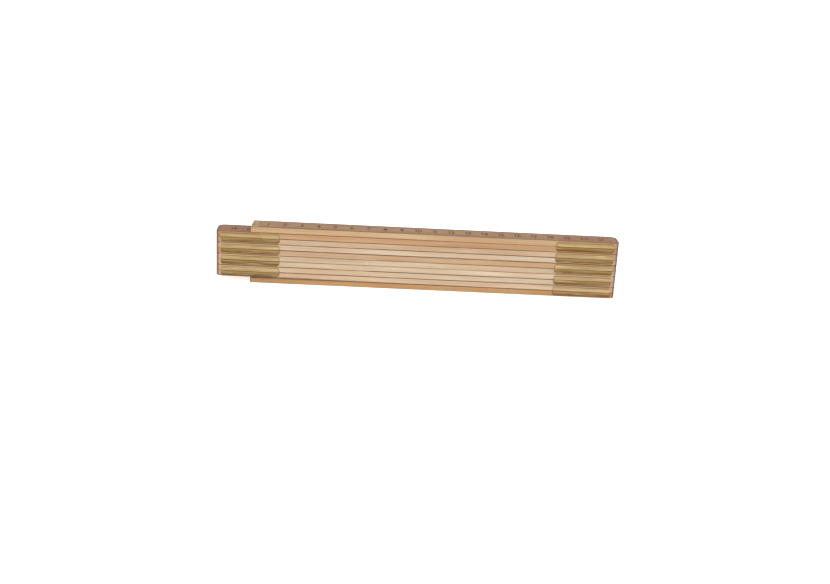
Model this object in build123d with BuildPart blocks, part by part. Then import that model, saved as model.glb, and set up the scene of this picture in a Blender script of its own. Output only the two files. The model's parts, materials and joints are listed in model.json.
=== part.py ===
"""Folding rule: ten wooden legs on nine sprung, concealed rivet joints, folded into a stack.

The legs lie flat, one on another, and every joint axis is vertical. Leg 1, which carries the zero end, is
on top, and leg 10 is at the bottom. Joint n holds leg n above leg n + 1: odd joints are at +X and even ones
at -X. +Z is up, and the origin is the middle of the folded stack, on the plane it rests on.
"""

import math
import os

from build123d import *

os.makedirs("parts", exist_ok=True)

# Driving dimensions, in millimetres.
LEG_COUNT = 10
PIVOT_PITCH = 200.0  # from pivot to pivot, and from an outer pivot to its free end: ten legs make 2 m
END_OVERHANG = 20.5  # wood beyond a pivot
LEG_WIDTH = 16.0
LEG_THICKNESS = 3.36
LEG_GAP = 0.1  # air between two legs
END_RADIUS = 4.0  # rounded corners of a jointed end, in plan
FREE_END_RADIUS = 0.8  # eased corners of a free end, in plan
EDGE_RADIUS = 0.12  # eased long edges of the wood

PLATE_LENGTH = 35.0
PLATE_SHEET = 0.5  # thickness of the pressed sheet
PLATE_PROUD = 0.02  # each plate stands this far out of its leg, so that metal runs on metal
FLANGE_HEIGHT = 2.65  # from the joint plane to the flange's free edge
FLANGE_BULGE = 0.6  # how far the bead that the two flanges make together stands out of the wood
FLANGE_LIP = 0.12  # thickness at the free edge, where the bead runs down to the wood
FLANGE_CORNER = 1.3  # rounded outer corners of a flange, seen from the side
FLANGE_ROLL = 0.5  # the bead also curves back to the wood at its two ends, seen from above
SEAM_CHAMFER = 0.16  # broken edge beside the joint plane
DETENT_COUNT = 4  # a click at every quarter turn
DETENT_DEPTH = 0.12
DETENT_WIDTH = 0.9
DETENT_LENGTH = 3.0
DETENT_CENTRE_RADIUS = 6.2

RIVET_RADIUS = 2.0
RUNNING_CLEARANCE = 0.05
RIVET_HEAD_RADIUS = 3.3
RIVET_HEAD_HEIGHT = 0.7
RIVET_HEAD_RIM = 0.35  # height of the cylindrical rim below the dome
RIVET_HEAD_ROOM = 0.03  # play under the upper head, so that the joint turns
WASHER_OUTER_RADIUS = 4.0
WASHER_SHEET = 0.25
WASHER_RISE = 0.2  # height of the washer's cone
POCKET_SIDE_ROOM = 0.5
POCKET_FLOOR_ROOM = 0.15

CAP_SHEET = 0.5
CAP_LENGTH = 4.5  # how far the end caps reach along the wood
CAP_BEND_RADIUS = 0.8  # outside of the two bends, over the end of the leg

# Derived dimensions.
LEG_PITCH = LEG_THICKNESS + LEG_GAP
REBATE_DEPTH = PLATE_SHEET - PLATE_PROUD
PLATE_CLEARANCE = LEG_GAP / 2 - PLATE_PROUD  # from the joint plane to the face of either plate
PLATE_BACK = PLATE_CLEARANCE + PLATE_SHEET  # from the joint plane to the far side of the sheet
RIVET_HEAD_SEAT = PLATE_BACK + RIVET_HEAD_ROOM
WASHER_BACK = PLATE_BACK + WASHER_RISE + WASHER_SHEET  # where the lower head bears on the washer
UPPER_POCKET_RADIUS = RIVET_HEAD_RADIUS + POCKET_SIDE_ROOM
UPPER_POCKET_DEPTH = RIVET_HEAD_SEAT + RIVET_HEAD_HEIGHT + POCKET_FLOOR_ROOM - LEG_GAP / 2
LOWER_POCKET_RADIUS = WASHER_OUTER_RADIUS + POCKET_SIDE_ROOM
LOWER_POCKET_DEPTH = WASHER_BACK + RIVET_HEAD_HEIGHT + POCKET_FLOOR_ROOM - LEG_GAP / 2
THROUGH = 2 * LEG_WIDTH  # longer than any cut across the rule


def leg_bottom(leg_number):
    """Height of a leg's underside; leg 10 lies on the ground plane."""
    return (LEG_COUNT - leg_number) * LEG_PITCH


def joint_x(joint_number):
    """Odd joints are at the +X end of the stack and even ones at the -X end."""
    return PIVOT_PITCH / 2 if joint_number % 2 else -PIVOT_PITCH / 2


def joint_height(joint_number):
    """Height of the plane on which the joint's two plates turn, midway between its legs."""
    return leg_bottom(joint_number) - LEG_GAP / 2


def is_outer(leg_number):
    """The first and the last leg have one free end, which is at -X in the folded stack."""
    return leg_number in (1, LEG_COUNT)


def cap_section(leg_number, bend_radius):
    """U section of an end cap, across the free end: over the top, round the end and back under the wood."""
    free_end = (-PIVOT_PITCH / 2, 0, leg_bottom(leg_number))
    with BuildSketch(Plane(origin=free_end, x_dir=(1, 0, 0), z_dir=(0, -1, 0))) as section:
        with Locations((CAP_LENGTH / 2, LEG_THICKNESS / 2)):
            Rectangle(CAP_LENGTH, LEG_THICKNESS)
        if bend_radius > 0:
            fillet(section.vertices().group_by(Axis.X)[0], bend_radius)
        with Locations(((CAP_LENGTH + CAP_SHEET) / 2, LEG_THICKNESS / 2)):
            Rectangle(CAP_LENGTH - CAP_SHEET, LEG_THICKNESS - 2 * CAP_SHEET, mode=Mode.SUBTRACT)
    return section.sketch


def make_blank(leg_number):
    """The whole outline of a leg, with eased edges, before its joints and its cap are let in."""
    right = PIVOT_PITCH / 2 + END_OVERHANG
    left = -PIVOT_PITCH / 2 if is_outer(leg_number) else -right
    left_radius = FREE_END_RADIUS if is_outer(leg_number) else END_RADIUS
    with BuildPart() as blank:
        with BuildSketch(Plane.XY.offset(leg_bottom(leg_number))) as outline:
            with Locations(((left + right) / 2, 0)):
                Rectangle(right - left, LEG_WIDTH)
            fillet(outline.vertices().group_by(Axis.X)[-1], END_RADIUS)
            fillet(outline.vertices().group_by(Axis.X)[0], left_radius)
        extrude(amount=LEG_THICKNESS)
        fillet(blank.faces().filter_by(Axis.Z).edges(), EDGE_RADIUS)
    return blank.part


def make_leg(leg_number, blank):
    """A wooden leg: the blank with a rebate and a blind pocket for each joint, and a seat for its cap."""
    bottom = leg_bottom(leg_number)
    top = bottom + LEG_THICKNESS
    with BuildPart() as leg:
        add(blank)
        if leg_number < LEG_COUNT:
            # The joint below: its plate is let into the underside, and the rivet's head into a pocket.
            with BuildSketch(Plane.XY.offset(bottom)):
                with Locations((joint_x(leg_number), 0)):
                    Rectangle(PLATE_LENGTH, THROUGH)
            extrude(amount=REBATE_DEPTH, mode=Mode.SUBTRACT)
            with BuildSketch(Plane.XY.offset(bottom)):
                with Locations((joint_x(leg_number), 0)):
                    Circle(UPPER_POCKET_RADIUS)
            extrude(amount=UPPER_POCKET_DEPTH, mode=Mode.SUBTRACT)
        if leg_number > 1:
            # The joint above: the same in the top face, with a deeper pocket for the washer and the head.
            with BuildSketch(Plane.XY.offset(top)):
                with Locations((joint_x(leg_number - 1), 0)):
                    Rectangle(PLATE_LENGTH, THROUGH)
            extrude(amount=-REBATE_DEPTH, mode=Mode.SUBTRACT)
            with BuildSketch(Plane.XY.offset(top)):
                with Locations((joint_x(leg_number - 1), 0)):
                    Circle(LOWER_POCKET_RADIUS)
            extrude(amount=-LOWER_POCKET_DEPTH, mode=Mode.SUBTRACT)
        if is_outer(leg_number):
            # The seat has square corners, so that the bends of the cap stand free of the wood's corners.
            extrude(cap_section(leg_number, 0), amount=THROUGH, both=True, mode=Mode.SUBTRACT)
    return leg.part


def make_end_cap(leg_number, blank):
    """A bent metal cap on a free end, flush with the wood all round."""
    with BuildPart() as cap:
        add(blank)
        extrude(cap_section(leg_number, CAP_BEND_RADIUS), amount=THROUGH, both=True, mode=Mode.INTERSECT)
    return cap.part


def flange_reach(height):
    """How far a flange stands out of the wood, at a height above the joint plane: half of a flat oval."""
    return FLANGE_LIP + (FLANGE_BULGE - FLANGE_LIP) * math.sqrt(1 - (height / FLANGE_HEIGHT) ** 2)


def make_plate(joint_number, side):
    """A pressed hinge plate, with a flange along each edge of its leg.

    side is 1 for the plate of the leg above the joint plane and -1 for that of the leg below. The flanges of
    the two plates make one bead, with a fine seam along its middle.
    """
    pivot = (joint_x(joint_number), 0, joint_height(joint_number))
    across = Plane(origin=pivot, x_dir=(0, 1, 0), z_dir=(1, 0, 0))
    along = Plane(origin=pivot, x_dir=(1, 0, 0), z_dir=(0, -1, 0))
    contact = Plane.XY.offset(joint_height(joint_number) + side * PLATE_CLEARANCE)
    edge = LEG_WIDTH / 2
    face = side * PLATE_CLEARANCE
    crown = side * (PLATE_CLEARANCE + SEAM_CHAMFER)
    crown_angle = math.degrees(math.asin(crown / FLANGE_HEIGHT))
    brow = edge + flange_reach(crown)
    with BuildPart() as plate:
        with BuildSketch(across):
            with BuildLine():
                Polyline((0, face), (brow - SEAM_CHAMFER, face), (brow, crown))
                EllipticalCenterArc(
                    (edge + FLANGE_LIP, 0),
                    x_radius=FLANGE_BULGE - FLANGE_LIP,
                    y_radius=FLANGE_HEIGHT,
                    start_angle=crown_angle,
                    arc_size=side * 90 - crown_angle,
                )
                Polyline(
                    (edge + FLANGE_LIP, side * FLANGE_HEIGHT),
                    (edge, side * FLANGE_HEIGHT),
                    (edge, side * PLATE_BACK),
                    (0, side * PLATE_BACK),
                )
                mirror(about=Plane.YZ)
            make_face()
        extrude(amount=PLATE_LENGTH / 2, both=True)
        with BuildSketch(along) as side_view:
            with Locations((0, side * FLANGE_HEIGHT / 2)):
                Rectangle(PLATE_LENGTH, FLANGE_HEIGHT)
            fillet(side_view.vertices().group_by(Axis.Y)[-1 if side > 0 else 0], FLANGE_CORNER)
        extrude(amount=THROUGH, both=True, mode=Mode.INTERSECT)
        with BuildSketch(contact):
            with Locations((joint_x(joint_number), 0)):
                RectangleRounded(PLATE_LENGTH, LEG_WIDTH + 2 * FLANGE_BULGE, FLANGE_ROLL)
        extrude(amount=side * FLANGE_HEIGHT, mode=Mode.INTERSECT)
        with BuildSketch(contact):
            with Locations((joint_x(joint_number), 0)):
                Circle(RIVET_RADIUS + (RUNNING_CLEARANCE if side > 0 else 0))
        extrude(amount=side * PLATE_SHEET, mode=Mode.SUBTRACT)
        with BuildSketch(contact):
            with Locations((joint_x(joint_number), 0)):
                with PolarLocations(DETENT_CENTRE_RADIUS, DETENT_COUNT):
                    SlotOverall(DETENT_LENGTH, DETENT_WIDTH)
        extrude(amount=side * DETENT_DEPTH, mode=Mode.SUBTRACT)
    return plate.part


def make_rivet(joint_number):
    """The concealed rivet, domed at both ends: fast in the lower plate, while the upper plate turns on it."""
    pivot = (joint_x(joint_number), 0, joint_height(joint_number))
    upper_rim = RIVET_HEAD_SEAT + RIVET_HEAD_RIM
    upper_crown = RIVET_HEAD_SEAT + RIVET_HEAD_HEIGHT
    lower_rim = -WASHER_BACK - RIVET_HEAD_RIM
    lower_crown = -WASHER_BACK - RIVET_HEAD_HEIGHT
    with BuildPart() as rivet:
        with BuildSketch(Plane(origin=pivot, x_dir=(1, 0, 0), z_dir=(0, -1, 0))):
            with BuildLine():
                TangentArc((0, upper_crown), (RIVET_HEAD_RADIUS, upper_rim), tangent=(1, 0))
                Polyline(
                    (RIVET_HEAD_RADIUS, upper_rim),
                    (RIVET_HEAD_RADIUS, RIVET_HEAD_SEAT),
                    (RIVET_RADIUS, RIVET_HEAD_SEAT),
                    (RIVET_RADIUS, -WASHER_BACK),
                    (RIVET_HEAD_RADIUS, -WASHER_BACK),
                    (RIVET_HEAD_RADIUS, lower_rim),
                )
                TangentArc((0, lower_crown), (RIVET_HEAD_RADIUS, lower_rim), tangent=(1, 0))
                Line((0, lower_crown), (0, upper_crown))
            make_face()
        revolve(axis=Axis(pivot, (0, 0, 1)))
    return rivet.part


def make_spring_washer(joint_number):
    """The coned spring washer under the lower plate. It presses the two plates together, for friction."""
    pivot = (joint_x(joint_number), 0, joint_height(joint_number))
    inner = RIVET_RADIUS + RUNNING_CLEARANCE
    with BuildPart() as washer:
        with BuildSketch(Plane(origin=pivot, x_dir=(1, 0, 0), z_dir=(0, -1, 0))):
            with BuildLine():
                Polyline(
                    (WASHER_OUTER_RADIUS, -PLATE_BACK),
                    (WASHER_OUTER_RADIUS, -PLATE_BACK - WASHER_SHEET),
                    (inner, -WASHER_BACK),
                    (inner, -WASHER_BACK + WASHER_SHEET),
                    close=True,
                )
            make_face()
        revolve(axis=Axis(pivot, (0, 0, 1)))
    return washer.part


def save(part, name):
    """Label a finished piece and write it as one STEP file."""
    part.label = name
    export_step(part, f"parts/{name}.step")


for leg_number in range(1, LEG_COUNT + 1):
    blank = make_blank(leg_number)
    save(make_leg(leg_number, blank), f"leg_{leg_number:02d}")
    if is_outer(leg_number):
        save(make_end_cap(leg_number, blank), f"end_cap_{leg_number:02d}")

for joint_number in range(1, LEG_COUNT):
    save(make_plate(joint_number, 1), f"hinge_plate_upper_{joint_number:02d}")
    save(make_plate(joint_number, -1), f"hinge_plate_lower_{joint_number:02d}")
    save(make_rivet(joint_number), f"rivet_{joint_number:02d}")
    save(make_spring_washer(joint_number), f"spring_washer_{joint_number:02d}")
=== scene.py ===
"""Looks of a folding rule: ten varnished beech legs, brass-plated hinge plates and printed graduations.

The materials come first, then the printing, then the stage. Lengths are in metres. The legs run along X, lie
flat on one another, and are numbered from the top of the stack. Colours are linear red, green and blue.
"""

import json
import math

import bmesh
import bpy
import numpy as np
from mathutils import Matrix, Vector


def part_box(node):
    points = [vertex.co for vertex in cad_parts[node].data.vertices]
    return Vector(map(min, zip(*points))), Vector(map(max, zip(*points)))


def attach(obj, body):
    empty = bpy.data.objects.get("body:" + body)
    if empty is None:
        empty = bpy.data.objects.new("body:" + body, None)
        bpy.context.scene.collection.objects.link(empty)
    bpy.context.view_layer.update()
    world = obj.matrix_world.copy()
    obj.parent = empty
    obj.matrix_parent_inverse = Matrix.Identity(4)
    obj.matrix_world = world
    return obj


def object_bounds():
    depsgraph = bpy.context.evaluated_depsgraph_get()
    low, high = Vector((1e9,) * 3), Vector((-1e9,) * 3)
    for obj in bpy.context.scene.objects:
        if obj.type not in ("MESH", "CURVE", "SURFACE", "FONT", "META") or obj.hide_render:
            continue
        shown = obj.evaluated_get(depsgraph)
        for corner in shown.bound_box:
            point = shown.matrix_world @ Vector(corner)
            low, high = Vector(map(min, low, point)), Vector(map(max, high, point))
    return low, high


MM = 0.001

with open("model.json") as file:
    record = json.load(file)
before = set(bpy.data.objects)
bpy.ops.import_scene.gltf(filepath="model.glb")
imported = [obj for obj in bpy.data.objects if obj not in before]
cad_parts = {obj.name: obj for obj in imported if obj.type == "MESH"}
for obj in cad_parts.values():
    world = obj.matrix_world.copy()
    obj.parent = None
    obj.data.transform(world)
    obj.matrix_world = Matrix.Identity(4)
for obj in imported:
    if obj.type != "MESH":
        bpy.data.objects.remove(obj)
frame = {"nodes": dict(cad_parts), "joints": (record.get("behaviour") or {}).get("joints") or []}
CAD_LOW, CAD_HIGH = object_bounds()
NODES = frame["nodes"]
LEG_COUNT = sum(name.startswith("leg_") for name in NODES)
PIVOT = max(joint["pos_m"][0] for joint in frame["joints"])  # from X = 0 to the pivots on either side
LEG_RANGE_MM = round(2 * PIVOT / MM)  # measure between the pivots of one leg
PLATE_LOW, PLATE_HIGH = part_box("hinge_plate_lower_01")
PLATE_REACH = (PLATE_HIGH.x - PLATE_LOW.x) / 2  # from a pivot to either end of its hinge plates
BEAD_CORNER = 1.3 * MM  # rounded corners of a hinge plate's bead
END_RADIUS = 4 * MM  # rounded corners of a jointed end, in plan

# Varnished edge colours of the legs, from the top of the stack down.
EDGE_COLOURS = [
    (0.45, 0.30, 0.16),
    (0.42, 0.25, 0.13),
    (0.45, 0.32, 0.20),
    (0.50, 0.39, 0.27),
    (0.44, 0.29, 0.17),
    (0.49, 0.38, 0.26),
    (0.52, 0.41, 0.28),
    (0.49, 0.38, 0.26),
    (0.50, 0.36, 0.23),
    (0.39, 0.22, 0.09),
]
# These multiply the edge colour: painted shade on the broad faces, in blotches of two stains.
OLIVE_SHADE_AND_STAIN = (0.80, 0.625, 0.32)
MAUVE_SHADE_AND_STAIN = (0.73, 0.475, 0.285)
# Painted shade on the slivers of wood between the hinge plates: under a bead, and over the next one,
# lighter.
SHADE_UNDER_BEAD = (0.82, 0.68, 0.49)
SHADE_OVER_BEAD = (0.93, 0.79, 0.60)
END_GRAIN_COLOUR = (0.150, 0.068, 0.040)
# Dark colour for painted shade in the seams, round the rims and on the last cap, and for dirt where a cap
# meets the wood.
DIRT_AND_SHADE_COLOUR = (0.090, 0.045, 0.022)
RIM_SHADE_COLOUR = (0.045, 0.038, 0.022)  # painted shade on the rims of the broad faces, towards +Y
# Colour of the band beside an end cap: a stain, and painted shade on the last leg.
CAP_STAIN_AND_SHADE_COLOUR = (0.24, 0.19, 0.12)
CAP_STAIN_AND_SHADE = {1: 0.15, LEG_COUNT: 0.75}  # how dark the band on the edges beside each end cap is: a stain on leg 1, mostly painted shade on the last leg
# Strength of the painted shade above leg 1, in the seam of each joint, and below the last leg.
SEAM_SHADE = [0.0, 0.55, 0.72, 0.84, 0.95, 0.54, 0.30, 0.86, 0.82, 0.88, 0.0]

BRASS_COLOUR = (0.47, 0.335, 0.160)
# Colour of the painted highlight streaks on the beads.
HIGHLIGHT_BRASS_COLOUR = (0.66, 0.50, 0.27)
# Painted shade round the outline of a bead.
BEAD_OUTLINE_SHADE = (0.085, 0.055, 0.025)
CAP_COLOUR = (0.55, 0.37, 0.18)
CAP_EDGE_COLOUR = (0.42, 0.27, 0.14)  # the cut edges of the cap's sheet
STEEL_COLOUR = (0.50, 0.50, 0.51)
INK_COLOUR = (0.090, 0.048, 0.026)
RED_INK_COLOUR = (0.165, 0.045, 0.035)
WORN_INK = (0.07, 0.045, 0.03)  # added to an ink's colour where the printing is thin
PLATE_TONES = [0.97, 0.97, 1.0, 0.97, 1.04, 0.93, 1.06, 1.02, 1.12]  # lightness, joint by joint
# The bead of a joint, from its lower free edge, at 0, to its upper one, at 1: painted shade towards the
# lower edge, a painted highlight on the upper flank, a dark seam at the middle and a darker upper edge.
BEAD_SHADE_AND_HIGHLIGHT = [
    (0.00, (0.110, 0.060, 0.024)),
    (0.10, (0.138, 0.070, 0.018)),
    (0.20, (0.160, 0.085, 0.022)),
    (0.30, (0.200, 0.112, 0.033)),
    (0.42, (0.280, 0.178, 0.072)),
    (0.50, (0.225, 0.136, 0.054)),
    (0.58, (0.385, 0.262, 0.122)),
    (0.76, (0.465, 0.322, 0.163)),
    (0.93, (0.355, 0.240, 0.120)),
    (1.00, (0.160, 0.105, 0.050)),
]

# Steps through the noise from one leg, pair of plates or seam to the next, so that no two look alike.
PLANK_STEP = (3.7, 5.3, 1.9)
BATCH_STEP = (2.3, 4.1, 1.7)
SEAM_STEP = 3.1


# ---------------------------------------------------------------- node helpers


class Nodes:
    """Short calls for building one material's node tree."""

    def __init__(self, name):
        self.material = bpy.data.materials.new(name)
        self.material.use_nodes = True
        self.tree = self.material.node_tree
        self.shader = self.tree.nodes["Principled BSDF"]
        where = self.node("ShaderNodeTexCoord")
        self.place = where.outputs["Object"]
        self.facing = where.outputs["Normal"]

    def node(self, kind, inputs=None, **settings):
        made = self.tree.nodes.new(kind)
        for key, value in settings.items():
            setattr(made, key, value)
        for key, value in (inputs or {}).items():
            self.feed(made.inputs[key], value)
        return made

    def feed(self, socket, value):
        if isinstance(value, bpy.types.NodeSocket):
            self.tree.links.new(value, socket)
        elif isinstance(value, tuple) and len(value) == 3 and len(socket.default_value) == 4:
            socket.default_value = (*value, 1.0)
        else:
            socket.default_value = value

    def maths(self, operation, *values):
        made = self.node("ShaderNodeMath", operation=operation)
        for socket, value in zip(made.inputs, values):
            self.feed(socket, value)
        return made.outputs[0]

    def times(self, first, second):
        return self.maths("MULTIPLY", first, second)

    def plus(self, first, second):
        return self.maths("ADD", first, second)

    def minus(self, first, second):
        return self.maths("SUBTRACT", first, second)

    def larger(self, first, second):
        return self.maths("MAXIMUM", first, second)

    def size(self, value):
        """The value without its sign."""
        return self.maths("ABSOLUTE", value)

    def rest(self, share):
        """What a share leaves of 1."""
        return self.minus(1.0, share)

    def ramp(self, value, start, end):
        """0 up to start and 1 from end on, smooth between them. Start may be the greater of the two."""
        inputs = {"Value": value, "From Min": start, "From Max": end}
        return self.node("ShaderNodeMapRange", inputs, interpolation_type="SMOOTHSTEP").outputs[0]

    def texture(self, vector, detail, roughness, distortion):
        """Noise, from 0 to 1, with one feature per unit of the vector."""
        inputs = {
            "Vector": vector,
            "Scale": 1.0,
            "Detail": detail,
            "Roughness": roughness,
            "Distortion": distortion,
        }
        return self.node("ShaderNodeTexNoise", inputs).outputs["Fac"]

    def noise(self, per_metre, offset=(0.0, 0.0, 0.0), detail=4.0, roughness=0.55, distortion=0.0):
        """Noise that rides on the object, with so many features a metre along X, Y and Z."""
        inputs = {"Vector": self.place, "Scale": per_metre, "Location": offset}
        stretched = self.node("ShaderNodeMapping", inputs).outputs[0]
        return self.texture(stretched, detail, roughness, distortion)

    def patches(self, per_metre, offset, span, amount=1.0, **texture):
        """A share in patches: none where the noise is below the span, and the whole amount above it."""
        low, high = span
        return self.times(self.ramp(self.noise(per_metre, offset, **texture), low, high), amount)

    def from_core(self, x, y, half_x, half_y):
        """Distance from a rectangle about 0, which is the same all round an outline with rounded corners."""
        beyond_x = self.larger(self.minus(self.size(x), half_x), 0.0)
        beyond_y = self.larger(self.minus(self.size(y), half_y), 0.0)
        squares = self.plus(self.maths("POWER", beyond_x, 2.0), self.maths("POWER", beyond_y, 2.0))
        return self.maths("SQRT", squares)

    def mix(self, share, first, second, blend="MIX"):
        """The first colour, with a share of the second mixed in."""
        made = self.node("ShaderNodeMix", data_type="RGBA", blend_type=blend)
        for index, value in ((0, share), (6, first), (7, second)):
            self.feed(made.inputs[index], value)
        return made.outputs[2]

    def multiply(self, first, second):
        return self.mix(1.0, first, second, blend="MULTIPLY")

    def split(self, vector):
        """The X, Y and Z of a vector."""
        return self.node("ShaderNodeSeparateXYZ", {"Vector": vector}).outputs

    def profile(self, value, stops):
        """Colour by a value from 0 to 1, blended between stops of (value, colour)."""
        made = self.node("ShaderNodeValToRGB", {"Fac": value})
        elements = made.color_ramp.elements
        while len(elements) < len(stops):
            elements.new(0.5)
        for element, (position, colour) in zip(elements, stops):
            element.position = position
            element.color = (*colour, 1.0)
        return made.outputs[0]

    def bump(self, height, distance, strength, below=None):
        inputs = {"Height": height, "Distance": distance, "Strength": strength}
        if below is not None:
            inputs["Normal"] = below
        return self.node("ShaderNodeBump", inputs).outputs[0]

    def set(self, **values):
        for name, value in values.items():
            self.feed(self.shader.inputs[name.replace("_", " ")], value)
        return self.material


def shade(colour, factor):
    return tuple(channel * factor for channel in colour)


def tint(colour, factors):
    return tuple(channel * factor for channel, factor in zip(colour, factors))


def own_start(number, step):
    """Where in the noise a numbered piece begins."""
    return tuple(number * along for along in step)


# ---------------------------------------------------------------- wood


class Beech(Nodes):
    """Clear-varnished beech of one leg. The grain runs along X, and each leg is cut from its own plank."""

    def __init__(self, number):
        super().__init__(f"beech_{number:02d}")
        self.number = number
        self.colour = EDGE_COLOURS[number - 1]
        self.low, self.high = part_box(f"leg_{number:02d}")
        self.plank = own_start(number, PLANK_STEP)
        self.x, self.y, z = self.split(self.place)
        facing = self.split(self.facing)
        self.on_end = self.ramp(self.size(facing[0]), 0.25, 0.9)
        self.on_face = self.ramp(self.size(facing[2]), 0.45, 0.9)
        self.on_edge = self.rest(self.on_face)
        # From -1 on the underside to 1 on the top.
        middle = (self.low.z + self.high.z) / 2
        self.off_middle = self.maths("DIVIDE", self.minus(z, middle), self.high.z - middle)
        # Beyond the hinge plates, and between them.
        bead_straight = PLATE_REACH - BEAD_CORNER
        blur = 0.6 * MM
        self.beyond = self.ramp(self.size(self.x), PIVOT + bead_straight, PIVOT + bead_straight + blur)
        along = self.x if self.has_cap() else self.size(self.x)
        inside = self.ramp(along, PIVOT - bead_straight - blur, PIVOT - bead_straight)
        self.beside = self.minus(inside, self.beyond)

    def has_cap(self):
        return self.number in (1, LEG_COUNT)

    def plank_wood(self):
        """Warmer and paler stretches a few centimetres long, some of them pinkish."""
        warm = self.patches((22, 160, 160), self.plank, (0.36, 0.66), detail=3.0)
        wood = self.mix(warm, shade(self.colour, 1.08), tint(self.colour, (0.97, 0.88, 0.76)))
        first, second, third = self.plank
        blush = self.patches((35, 120, 120), (second, third, first), (0.52, 0.72), amount=0.5, detail=3.0)
        return self.mix(blush, wood, tint(self.colour, (1.0, 0.86, 0.95)))

    def marked(self, wood, rings, flecks):
        """Growth rings, which wander a little, and medullary flecks: short dark dashes, 1 to 3 mm long."""
        wander = self.noise((9, 60, 60), self.plank, detail=2.0)
        ring_mark = self.ramp(self.plus(rings, self.times(wander, 0.25)), 0.55, 0.82)
        wood = self.mix(self.times(ring_mark, 0.55), wood, shade(self.colour, 0.62))
        fleck_mark = self.ramp(flecks, 0.63, 0.72)
        return self.mix(self.times(fleck_mark, 0.45), wood, tint(self.colour, (0.55, 0.42, 0.30)))

    def handled(self, wood):
        """The wood is pinkish beyond the hinge plates, where hands go most, and has painted shade between
        them, darkest under each bead.
        """
        wood = self.mix(self.times(self.beyond, 0.7), wood, tint(self.colour, (0.93, 0.75, 0.72)))
        sliver_shade = self.mix(self.ramp(self.off_middle, -0.3, 0.3), SHADE_UNDER_BEAD, SHADE_OVER_BEAD)
        return self.mix(self.beside, wood, self.multiply(wood, sliver_shade))

    def stained_faces(self, wood):
        """The broad faces carry painted shade, darker than the sawn edges, in blotches of two stains and a
        darker speckle.
        """
        blotches = self.patches((110, 240, 240), self.plank, (0.42, 0.60), detail=3.0, roughness=0.6)
        shade_and_stain = self.mix(blotches, OLIVE_SHADE_AND_STAIN, MAUVE_SHADE_AND_STAIN)
        speckle = self.patches((900, 1400, 1400), self.plank, (0.48, 0.70), amount=0.45, detail=3.0)
        shade_and_stain = self.mix(speckle, shade_and_stain, shade(MAUVE_SHADE_AND_STAIN, 0.5))
        return self.mix(self.on_face, wood, self.multiply(wood, shade_and_stain))

    def dirty_rims(self, wood):
        """Painted shade round the outline of the broad faces, widest at +Y and round the corners."""
        from_core = self.from_core(self.x, self.y, self.high.x - END_RADIUS, self.high.y - END_RADIUS)
        rim = self.times(self.ramp(from_core, END_RADIUS - 0.9 * MM, END_RADIUS - 0.1 * MM), 0.62)
        corner = self.times(self.ramp(from_core, END_RADIUS - 2.4 * MM, END_RADIUS - 0.4 * MM), self.beyond)
        far_side = self.times(self.ramp(self.y, self.high.y - 2.4 * MM, self.high.y - 0.2 * MM), 0.70)
        rim = self.larger(self.larger(rim, far_side), self.times(corner, 0.85))
        colour = self.mix(self.ramp(self.y, -0.5 * self.high.y, 0.5 * self.high.y), DIRT_AND_SHADE_COLOUR, RIM_SHADE_COLOUR)
        return self.mix(self.times(rim, self.on_face), wood, colour)

    def end_grain(self, wood):
        """The ends are darker still, in layers."""
        layers = self.patches((300, 220, 2600), self.plank, (0.35, 0.65), roughness=0.6)
        grain = self.mix(layers, shade(END_GRAIN_COLOUR, 0.75), shade(END_GRAIN_COLOUR, 1.35))
        return self.mix(self.times(self.on_end, 0.95), wood, grain)

    def seam(self, joint_number, side):
        """Painted shade, in patches, in the seam of one joint; none at the joint's own end of the seam,
        which it holds shut.
        """
        # Between the plates, the painted shade lies a little higher.
        from_edge = self.plus(self.times(self.off_middle, side), self.times(self.beside, -0.08 * side))
        seam = self.ramp(from_edge, 0.76, 0.95)
        if joint_number == LEG_COUNT - 1:
            # The painted shade is wider towards the free end of the last leg.
            towards_free_end = self.ramp(self.x, 0.0, -0.9 * PIVOT)
            seam = self.larger(seam, self.times(self.ramp(from_edge, 0.60, 0.72), towards_free_end))
        towards_joint = self.times(self.x, 1.0 if joint_number % 2 else -1.0)
        shut = self.ramp(towards_joint, PIVOT + PLATE_REACH - 1.0 * MM, PIVOT + PLATE_REACH)
        seam = self.times(seam, self.rest(shut))
        start = (joint_number * SEAM_STEP, 0.5, 0.5)
        seam_shade_patches = self.patches((45, 0, 0), start, (0.22, 0.52), amount=SEAM_SHADE[joint_number], detail=5.0)
        if joint_number == 1:
            # There is less painted shade towards the joint.
            seam_shade_patches = self.times(seam_shade_patches, self.ramp(self.x, 0.8 * PIVOT, -0.4 * PIVOT))
        return self.times(seam, seam_shade_patches)

    # Painted shade in the seams above and below the leg.
    def dirty_seams(self, wood):
        seams = self.plus(self.seam(self.number - 1, 1.0), self.seam(self.number, -1.0))
        return self.mix(self.times(seams, self.on_edge), wood, DIRT_AND_SHADE_COLOUR)

    def cap_marks(self, wood):
        """The end cap has stained the wood in a line on the broad faces. The wider band on the edges is a
        light stain on leg 1 and mostly painted shade on the last leg.
        """
        cap_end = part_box(f"end_cap_{self.number:02d}")[1].x
        from_cap = self.size(self.minus(self.x, cap_end))
        line = self.rest(self.ramp(from_cap, 0.15 * MM, 0.45 * MM))
        wood = self.mix(self.times(self.times(line, self.on_face), 0.85), wood, DIRT_AND_SHADE_COLOUR)
        band = self.rest(self.ramp(self.x, self.low.x + 0.8 * MM, self.low.x + 2.0 * MM))
        band = self.times(band, self.on_edge)
        return self.mix(self.times(band, CAP_STAIN_AND_SHADE[self.number]), wood, CAP_STAIN_AND_SHADE_COLOUR)

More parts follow.
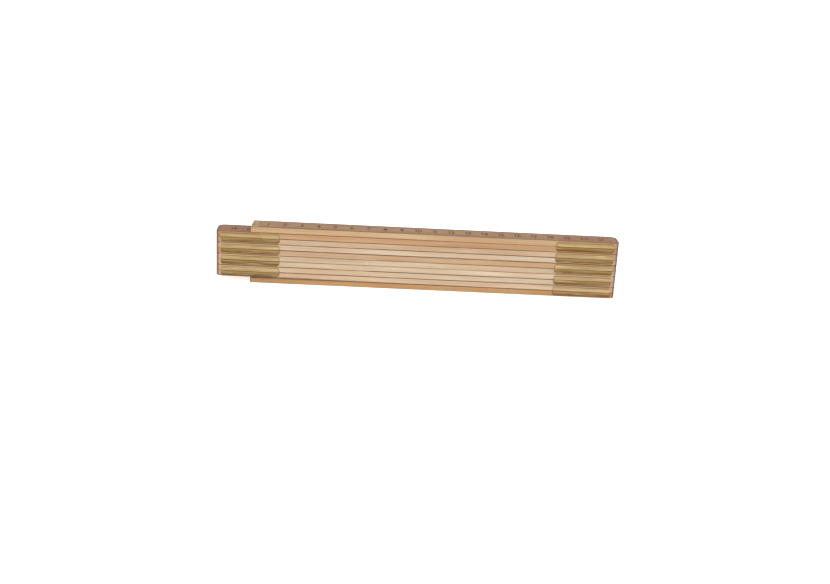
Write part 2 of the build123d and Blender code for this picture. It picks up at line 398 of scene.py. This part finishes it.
    def finished(self):
        rings = self.noise((14, 1500, 1500), self.plank, detail=5.0, roughness=0.62, distortion=0.35)
        flecks = self.noise((520, 5200, 5200), self.plank, detail=2.0, roughness=0.5)
        wood = self.marked(self.plank_wood(), rings, flecks)
        wood = self.handled(wood)
        wood = self.stained_faces(wood)
        wood = self.dirty_rims(wood)
        wood = self.end_grain(wood)
        wood = self.dirty_seams(wood)
        if self.has_cap():
            wood = self.cap_marks(wood)
        grain = self.bump(rings, 0.04 * MM, 0.5)
        varnished = self.rest(self.on_end)
        return self.set(
            Base_Color=wood,
            Roughness=self.plus(self.times(rings, 0.22), 0.30),
            Normal=self.bump(flecks, 0.02 * MM, 0.6, below=grain),
            Specular_IOR_Level=self.times(varnished, 0.3),
            Coat_Weight=self.times(varnished, 0.12),
            Coat_Roughness=0.22,
        )


# ---------------------------------------------------------------- metal and ink


class BrassPlate(Nodes):
    """Brass-plated pressed steel, drawn lengthwise, of the two hinge plates of one joint."""

    def __init__(self, joint_number):
        super().__init__(f"brass_{joint_number:02d}")
        self.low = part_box(f"hinge_plate_lower_{joint_number:02d}")[0]
        self.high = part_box(f"hinge_plate_upper_{joint_number:02d}")[1]
        self.middle = (self.low + self.high) / 2
        self.tone = PLATE_TONES[joint_number - 1]
        self.batch = own_start(joint_number, BATCH_STEP)
        self.x, _, self.z = self.split(self.place)
        self.streaks = self.noise((34, 1900, 1900), self.batch, detail=5.0, roughness=0.62)
        # From 0 at the bead's lower free edge to 1 at its upper one, blurred by the streaks.
        height = self.maths("DIVIDE", self.minus(self.z, self.low.z), self.high.z - self.low.z)
        self.height = self.plus(height, self.times(self.minus(self.streaks, 0.5), 0.30))

    def drawn(self):
        """The bead's colour by height, painted shade below and a painted highlight on the upper flank, with
        drawn lines, painted highlight streaks and cloudy tarnish.
        """
        # Painted shade towards the lower edge and a painted highlight on the upper flank.
        bead = self.profile(self.height, BEAD_SHADE_AND_HIGHLIGHT)
        bead = self.multiply(bead, (self.tone, self.tone, self.tone * self.tone))
        batch = self.batch
        lines = self.patches((45, 3400, 3400), batch, (0.52, 0.66), amount=0.55, detail=3.0, roughness=0.6)
        bead = self.mix(lines, bead, shade(BRASS_COLOUR, 0.50))
        turned_batch = (batch[2], batch[0], batch[1])
        # Painted highlight streaks.
        painted_highlight = self.patches((40, 1300, 1300), turned_batch, (0.54, 0.68), amount=0.6, roughness=0.6)
        bead = self.mix(painted_highlight, bead, HIGHLIGHT_BRASS_COLOUR)
        clouds = self.patches((70, 400, 400), batch, (0.42, 0.66), amount=0.45)
        return self.mix(clouds, bead, shade(BRASS_COLOUR, 0.60))

    def outlined(self, bead):
        """Painted shade round the bead's rounded outline, most of all below."""
        half = (self.high - self.low) / 2
        from_middle = self.minus(self.x, self.middle.x)
        above_middle = self.minus(self.z, self.middle.z)
        from_core = self.from_core(from_middle, above_middle, half.x - BEAD_CORNER, half.z - BEAD_CORNER)
        outline = self.ramp(from_core, BEAD_CORNER - 0.45 * MM, BEAD_CORNER - 0.05 * MM)
        strength = self.plus(self.times(self.ramp(self.height, 0.75, 0.25), 0.45), 0.35)
        return self.mix(self.times(outline, strength), bead, BEAD_OUTLINE_SHADE)

    def turning_marks(self):
        """Circles about the pivot, rubbed into the faces that turn on each other."""
        flat = self.node("ShaderNodeVectorMath", {0: self.place, 1: (1, 1, 0)}, operation="MULTIPLY")
        ends = {0: flat.outputs[0], 1: (self.middle.x, self.middle.y, 0)}
        radius = self.node("ShaderNodeVectorMath", ends, operation="DISTANCE").outputs["Value"]
        outwards = self.node("ShaderNodeCombineXYZ", {"X": self.times(radius, 3500.0)}).outputs[0]
        return self.texture(outwards, detail=4.0, roughness=0.55, distortion=0.0)

    def finished(self):
        turned = self.turning_marks()
        rubbed = self.mix(self.ramp(turned, 0.40, 0.62), shade(BRASS_COLOUR, 1.1), shade(BRASS_COLOUR, 0.6))
        on_bead = self.ramp(self.size(self.split(self.facing)[1]), 0.35, 0.70)
        marks = self.plus(self.times(self.streaks, on_bead), self.times(turned, 0.5))
        return self.set(
            Base_Color=self.mix(on_bead, rubbed, self.outlined(self.drawn())),
            Metallic=1.0,
            Roughness=self.plus(self.times(self.streaks, 0.30), 0.22),
            Normal=self.bump(marks, 0.02 * MM, 0.6),
        )


def cap_metal(number):
    """Dull, tarnished brass of an end cap, with painted shade round the bend and along its front and back
    edges. The last leg's cap has more painted shade, at its seam and its tip.
    """
    low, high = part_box(f"end_cap_{number:02d}")
    n = Nodes(f"cap_metal_{number:02d}")
    x, y, z = n.split(n.place)
    facing = n.split(n.facing)
    wear = n.noise((300, 300, 300), detail=6.0, roughness=0.6)
    metal = n.mix(n.ramp(wear, 0.35, 0.68), CAP_COLOUR, shade(CAP_COLOUR, 0.7))
    # Painted shade round the bend.
    bend = n.ramp(n.size(facing[0]), 0.15, 0.6)
    metal = n.mix(n.times(bend, 0.8), metal, shade(CAP_COLOUR, 0.15))
    # Painted shade along the front and back edges.
    rim = n.ramp(n.size(y), high.y - 1.5 * MM, high.y - 0.2 * MM)
    metal = n.mix(n.times(rim, 0.6), metal, shade(CAP_COLOUR, 0.3))
    cut_edge = n.ramp(n.size(facing[1]), 0.5, 0.8)
    metal = n.mix(cut_edge, metal, n.mix(wear, shade(CAP_EDGE_COLOUR, 0.7), shade(CAP_EDGE_COLOUR, 1.2)))
    if number == LEG_COUNT:
        # Painted shade at the last cap's seam with the leg above and at its tip.
        seam = n.ramp(z, high.z - 0.7 * MM, high.z - 0.4 * MM)
        tip = n.times(n.ramp(x, low.x + 0.7 * MM, low.x + 0.3 * MM), 0.8)
        metal = n.mix(n.times(n.larger(seam, tip), cut_edge), metal, DIRT_AND_SHADE_COLOUR)
    rough = n.plus(n.times(wear, 0.3), 0.30)
    return n.set(Base_Color=metal, Metallic=1.0, Roughness=rough, Normal=n.bump(wear, 0.02 * MM, 0.5))


def bright_steel():
    """Zinc-plated steel of the rivets and washers."""
    n = Nodes("bright_steel")
    grain = n.noise((1500, 1500, 1500))
    metal = n.mix(grain, shade(STEEL_COLOUR, 0.8), shade(STEEL_COLOUR, 1.15))
    rough = n.plus(n.times(grain, 0.25), 0.25)
    return n.set(Base_Color=metal, Metallic=1.0, Roughness=rough, Normal=n.bump(grain, 0.01 * MM, 0.4))


def ink(name, colour):
    """Printing ink under the varnish, thin in places."""
    n = Nodes(name)
    worn = n.noise((900, 900, 900))
    thin = tuple(channel + more for channel, more in zip(colour, WORN_INK))
    tone = n.mix(n.ramp(worn, 0.45, 0.75), colour, thin)
    rough = n.plus(n.times(worn, 0.2), 0.45)
    grain = n.bump(worn, 0.005 * MM, 0.4)
    return n.set(Base_Color=tone, Roughness=rough, Specular_IOR_Level=0.1, Normal=grain)


def paint(node, material):
    for material_slot in NODES[node].material_slots:
        material_slot.material = material


for number in range(1, LEG_COUNT + 1):
    paint(f"leg_{number:02d}", Beech(number).finished())

for joint_number in range(1, LEG_COUNT):
    brass = BrassPlate(joint_number).finished()
    paint(f"hinge_plate_upper_{joint_number:02d}", brass)
    paint(f"hinge_plate_lower_{joint_number:02d}", brass)

for number in (1, LEG_COUNT):
    paint(f"end_cap_{number:02d}", cap_metal(number))

STEEL = bright_steel()
for name in NODES:
    if name.startswith(("rivet", "spring_washer")):
        paint(name, STEEL)


# ---------------------------------------------------------------- printed graduations

TICK_WIDTH = 0.24 * MM
PRINT_RISE = 0.02 * MM  # the ink stands this far out of the wood
PRINT_SINK = 0.01 * MM  # and is rooted this far in it
EDGE_MARGIN = 0.45 * MM  # from the side of the leg to the start of a division line
END_MARGIN = 4.2 * MM  # no lines on the rounded corners of a jointed end
METAL_MARGIN = 0.5 * MM
STEPS = (10, 5, 1)  # a division line marks the largest of these steps, in mm, that divides its measure
NEAR_TICKS = {10: 4.4 * MM, 5: 3.4 * MM, 1: 2.5 * MM}
FAR_TICKS = {10: 3.2 * MM, 5: 2.4 * MM, 1: 1.7 * MM}
NUMERAL_HEIGHT = 5.4 * MM
NUMERAL_NARROWING = 0.72
NUMERAL_MIDDLE = 0.2 * MM  # from the leg's centre line, away from the near edge
DIGIT_GAP = 0.55 * MM
DIGIT_THICKENING = 0.012  # of the strokes, as a share of the letter size
DIGIT_CURVE_STEPS = 3
WELD_DISTANCE = 1e-5  # of points that are the same, as a share of the letter size


def digit_meshes():
    """For each digit, its points, its faces and its width. It is 1 tall about 0, and 0 to 1 deep."""
    shapes = []
    for digit in range(10):
        text = bpy.data.curves.new("digit", "FONT")
        text.body = str(digit)
        text.resolution_u = DIGIT_CURVE_STEPS
        text.offset = DIGIT_THICKENING
        text.extrude = 0.5
        holder = bpy.data.objects.new("digit", text)
        mesh = bpy.data.meshes.new_from_object(holder)
        shape = bmesh.new()
        shape.from_mesh(mesh)
        bmesh.ops.remove_doubles(shape, verts=shape.verts, dist=WELD_DISTANCE)
        points = np.array([v.co[:] for v in shape.verts])
        faces = [[v.index for v in face.verts] for face in shape.faces]
        shape.free()
        bpy.data.objects.remove(holder)
        bpy.data.curves.remove(text)
        bpy.data.meshes.remove(mesh)
        low = points.min(0)
        high = points.max(0)
        height = high[1] - low[1]
        points[:, 0] = (points[:, 0] - low[0]) / height
        points[:, 1] = (points[:, 1] - (low[1] + high[1]) / 2) / height
        points[:, 2] += 0.5
        shapes.append((points, faces, (high[0] - low[0]) / height))
    return shapes


DIGITS = digit_meshes()


class Print:
    """Flat raised marks on one face of a leg, gathered into one mesh."""

    def __init__(self):
        self.points = []
        self.faces = []

    def add(self, points, faces):
        start = len(self.points)
        self.points += [tuple(p) for p in points]
        self.faces += [[start + i for i in face] for face in faces]

    def piece(self, name, material, body):
        mesh = bpy.data.meshes.new(name)
        mesh.from_pydata(self.points, [], self.faces)
        mesh.validate()
        mesh.materials.append(material)
        shape = bmesh.new()
        shape.from_mesh(mesh)
        bmesh.ops.recalc_face_normals(shape, faces=shape.faces)
        shape.to_mesh(mesh)
        shape.free()
        made = bpy.data.objects.new(name, mesh)
        bpy.context.scene.collection.objects.link(made)
        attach(made, body)


BOX_FACES = [(0, 1, 2, 3), (7, 6, 5, 4), (0, 4, 5, 1), (1, 5, 6, 2), (2, 6, 7, 3), (3, 7, 4, 0)]


class Face:
    """One broad face of a leg, in reading coordinates: u along the measure, v away from the near edge."""

    def __init__(self, number, up):
        low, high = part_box(f"leg_{number:02d}")
        self.number = number
        self.up = up
        self.reading = 1 if number % 2 else -1  # odd legs count towards +X when the rule is folded
        self.surface = high.z if up > 0 else low.z
        self.first_mm = LEG_RANGE_MM * (number - 1)
        self.half_width = (high.y - low.y) / 2
        ends = sorted(self.reading * x + PIVOT for x in (low.x, high.x))
        self.start = ends[0] + (END_MARGIN if number > 1 else 0)
        self.stop = ends[1] - (END_MARGIN if number < LEG_COUNT else 0)
        self.metal = [self.span(name) for name in self.metal_nodes()]

    def metal_nodes(self):
        """The hinge plate and the cap that lie in this face."""
        if self.up > 0 and self.number > 1:
            yield f"hinge_plate_lower_{self.number - 1:02d}"
        if self.up < 0 and self.number < LEG_COUNT:
            yield f"hinge_plate_upper_{self.number:02d}"
        if self.number in (1, LEG_COUNT):
            yield f"end_cap_{self.number:02d}"

    def span(self, node):
        low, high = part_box(node)
        ends = sorted(self.reading * x + PIVOT for x in (low.x, high.x))
        return ends[0] - METAL_MARGIN, ends[1] + METAL_MARGIN

    def is_wood(self, low, high):
        """True if there is only wood between two distances along the measure."""
        return low >= self.start and high <= self.stop and all(high < a or low > b for a, b in self.metal)

    def place(self, points):
        """From (u, v, height above the wood) to the frame's own axes."""
        u, v, rise = np.asarray(points, float).T
        x = self.reading * (u - PIVOT)
        y = self.reading * self.up * v
        return np.stack([x, y, self.surface + self.up * rise], 1)

    def tick(self, u, v_low, v_high):
        corners = [
            (u + side * TICK_WIDTH / 2, v, rise)
            for rise in (-PRINT_SINK, PRINT_RISE)
            for side, v in ((-1, v_low), (1, v_low), (1, v_high), (-1, v_high))
        ]
        return self.place(corners), BOX_FACES


def print_numeral(face, u, centimetre, marks):
    """One numeral across its division line, if it fits on the wood."""
    shapes = [DIGITS[int(digit)] for digit in str(centimetre)]
    scale = NUMERAL_HEIGHT * NUMERAL_NARROWING
    width = sum(digit_width for _, _, digit_width in shapes) * scale + DIGIT_GAP * (len(shapes) - 1)
    if not face.is_wood(u - width / 2, u + width / 2):
        return
    left = u - width / 2
    for points, faces, digit_width in shapes:
        sized = points * (scale, NUMERAL_HEIGHT, PRINT_RISE + PRINT_SINK)
        moved = sized + (left, NUMERAL_MIDDLE, -PRINT_SINK)
        marks.add(face.place(moved), faces)
        left += digit_width * scale + DIGIT_GAP


def print_face(number, up, black, red):
    """Division lines along both edges of a face, and a numeral at each centimetre: decimetres are red."""
    face = Face(number, up)
    edge = face.half_width - EDGE_MARGIN
    for mm in range(math.ceil(face.start / MM), math.floor(face.stop / MM) + 1):
        u = mm * MM
        if not face.is_wood(u - TICK_WIDTH, u + TICK_WIDTH):
            continue
        step = next(step for step in STEPS if mm % step == 0)
        black.add(*face.tick(u, -edge, -edge + NEAR_TICKS[step]))
        black.add(*face.tick(u, edge - FAR_TICKS[step], edge))
        centimetre = (face.first_mm + mm) // 10
        if step == 10 and centimetre > 0:
            print_numeral(face, u, centimetre, red if centimetre % 10 == 0 else black)


BLACK_INK = ink("ink", INK_COLOUR)
RED_INK = ink("red_ink", RED_INK_COLOUR)
for number in range(1, LEG_COUNT + 1):
    black = Print()
    red = Print()
    print_face(number, 1, black, red)
    print_face(number, -1, black, red)
    body = f"leg_{number:02d}_body"
    black.piece(f"graduations_{number:02d}", BLACK_INK, body)
    red.piece(f"decimetre_numerals_{number:02d}", RED_INK, body)


# ---------------------------------------------------------------- stage

FLOOR_REACH = 30.0
FLOOR_GAP = 0.05 * MM  # between the floor and the rule
FLOOR_COLOURS = ((0.86, 0.86, 0.86), (0.90, 0.90, 0.90))
FLOOR_GLOW = 0.70
WORLD_STRENGTH = 0.80
CAMERA_TARGET = Vector((-0.0002, 0.0, -0.0040))
CAMERA_DISTANCE = 0.7048
CAMERA_AZIMUTH = -1.66  # degrees: 0 is in front of the rule, and 90 at its +X end
CAMERA_ELEVATION = 17.83
CAMERA_ROLL = 3.10
LENS_MM = 50.0
SENSOR_MM = 36.0
LIGHT_DISTANCE = 5.0  # of the overhead light, whose strength doesn't depend on it


def away(azimuth, elevation):
    """The direction from the rule that an azimuth and an elevation, in degrees, name."""
    a = math.radians(azimuth)
    e = math.radians(elevation)
    return Vector((math.sin(a) * math.cos(e), -math.cos(a) * math.cos(e), math.sin(e)))


def floor():
    """A wide pale floor under the rule."""
    corners = [(x * FLOOR_REACH, y * FLOOR_REACH, 0) for x, y in ((-1, -1), (1, -1), (1, 1), (-1, 1))]
    mesh = bpy.data.meshes.new("floor")
    mesh.from_pydata(corners, [], [(0, 1, 2, 3)])
    made = bpy.data.objects.new("floor", mesh)
    made.location.z = CAD_LOW.z - FLOOR_GAP
    bpy.context.scene.collection.objects.link(made)
    n = Nodes("floor")
    tone = n.mix(n.noise((40, 40, 40), detail=3.0), *FLOOR_COLOURS)
    n.set(Base_Color=tone, Roughness=0.9, Emission_Color=(1.0, 1.0, 1.0), Emission_Strength=FLOOR_GLOW)
    mesh.materials.append(n.material)


def place_light(name, kind, azimuth, elevation, distance):
    """A light that faces the rule."""
    light = bpy.data.lights.new(name, kind)
    made = bpy.data.objects.new(name, light)
    direction = away(azimuth, elevation)
    made.location = direction * distance
    made.rotation_euler = direction.to_track_quat("Z", "Y").to_euler()
    bpy.context.scene.collection.objects.link(made)
    return light


def softbox(name, azimuth, elevation, distance, width, height, power):
    light = place_light(name, "AREA", azimuth, elevation, distance)
    light.shape = "RECTANGLE"
    light.size = width
    light.size_y = height
    light.energy = power


def overhead(name, azimuth, elevation, spread, strength):
    """Even light from a wide, far part of the ceiling."""
    light = place_light(name, "SUN", azimuth, elevation, LIGHT_DISTANCE)
    light.angle = math.radians(spread)
    light.energy = strength


def camera():
    """In front of the rule and a little to the left of its middle, looking down at it."""
    lens = bpy.data.cameras.new("camera")
    lens.lens = LENS_MM
    lens.sensor_width = SENSOR_MM
    made = bpy.data.objects.new("camera", lens)
    back = away(CAMERA_AZIMUTH, CAMERA_ELEVATION)
    roll = Matrix.Rotation(math.radians(CAMERA_ROLL), 3, "Z")
    turn = back.to_track_quat("Z", "Y").to_matrix() @ roll
    made.matrix_world = Matrix.Translation(CAMERA_TARGET + back * CAMERA_DISTANCE) @ turn.to_4x4()
    bpy.context.scene.collection.objects.link(made)
    bpy.context.scene.camera = made


def white_world():
    world = bpy.data.worlds.new("studio")
    world.use_nodes = True
    background = world.node_tree.nodes["Background"]
    background.inputs["Color"].default_value = (1.0, 1.0, 1.0, 1.0)
    background.inputs["Strength"].default_value = WORLD_STRENGTH
    bpy.context.scene.world = world


floor()
softbox("key", azimuth=-8, elevation=32, distance=1.6, width=2.4, height=1.1, power=9.0)
overhead("ceiling", azimuth=-30, elevation=62, spread=50, strength=0.30)
camera()
white_world()
bpy.context.scene.view_settings.view_transform = "Standard"
